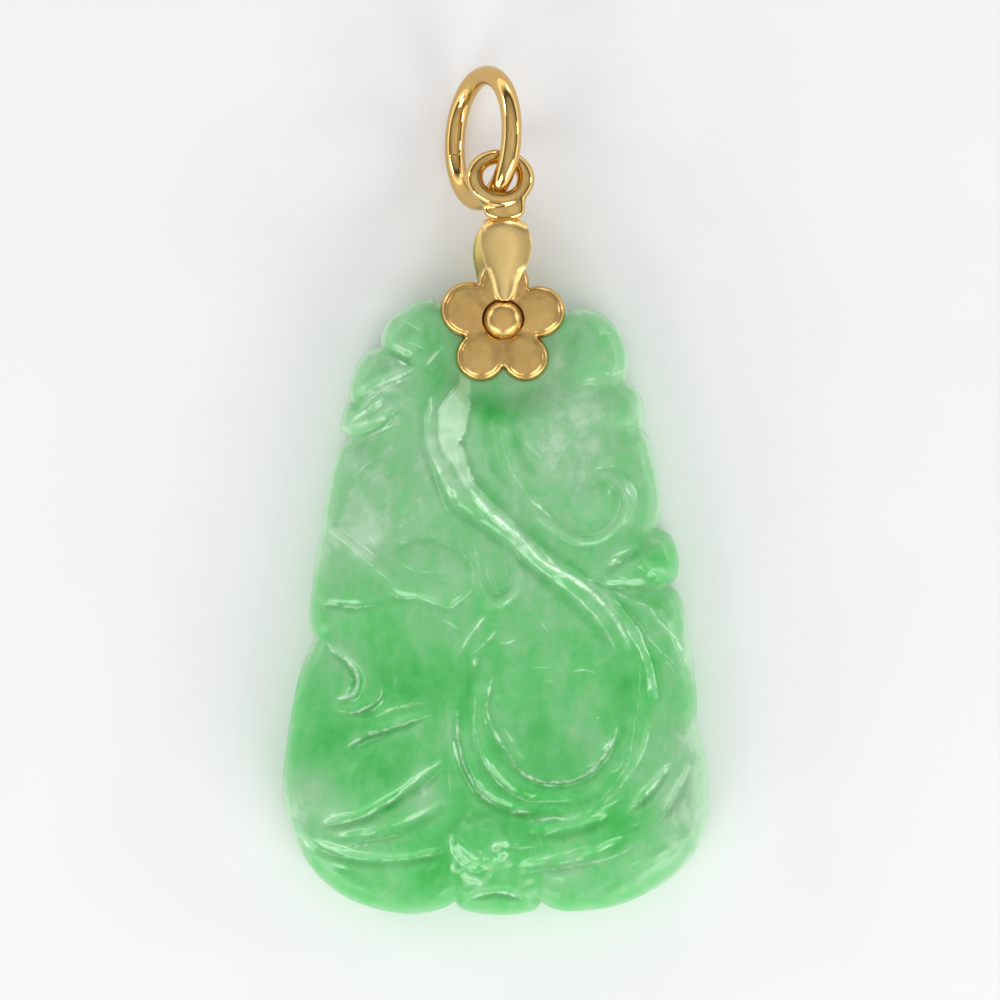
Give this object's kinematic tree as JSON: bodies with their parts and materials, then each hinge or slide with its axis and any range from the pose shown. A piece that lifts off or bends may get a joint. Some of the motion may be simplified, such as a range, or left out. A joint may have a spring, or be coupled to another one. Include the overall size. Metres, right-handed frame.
{
  "type": "jade pendant",
  "caption": "Carved green jade pendant with lobed outline, scrolls and leaves, held by a folded gold strap with a flower, an eyelet and a jump ring.",
  "frame": {"origin": "middle of the pendant's footprint, on the table that it lies on", "axes": "+Y along the pendant towards its jump ring, +X to the right as its carved face is seen, +Z out of the carved face"},
  "size_m": [0.0214, 0.0426, 0.0059],
  "materials": {
    "jade": "polished",
    "gold": "satin"
  },
  "bodies": {
    "root": {"jade_plaque": "jade", "flower": "gold", "centre_bead": "gold", "bail_strap": "gold", "eyelet": "gold", "jump_ring": "gold"}
  },
  "joints": []
}
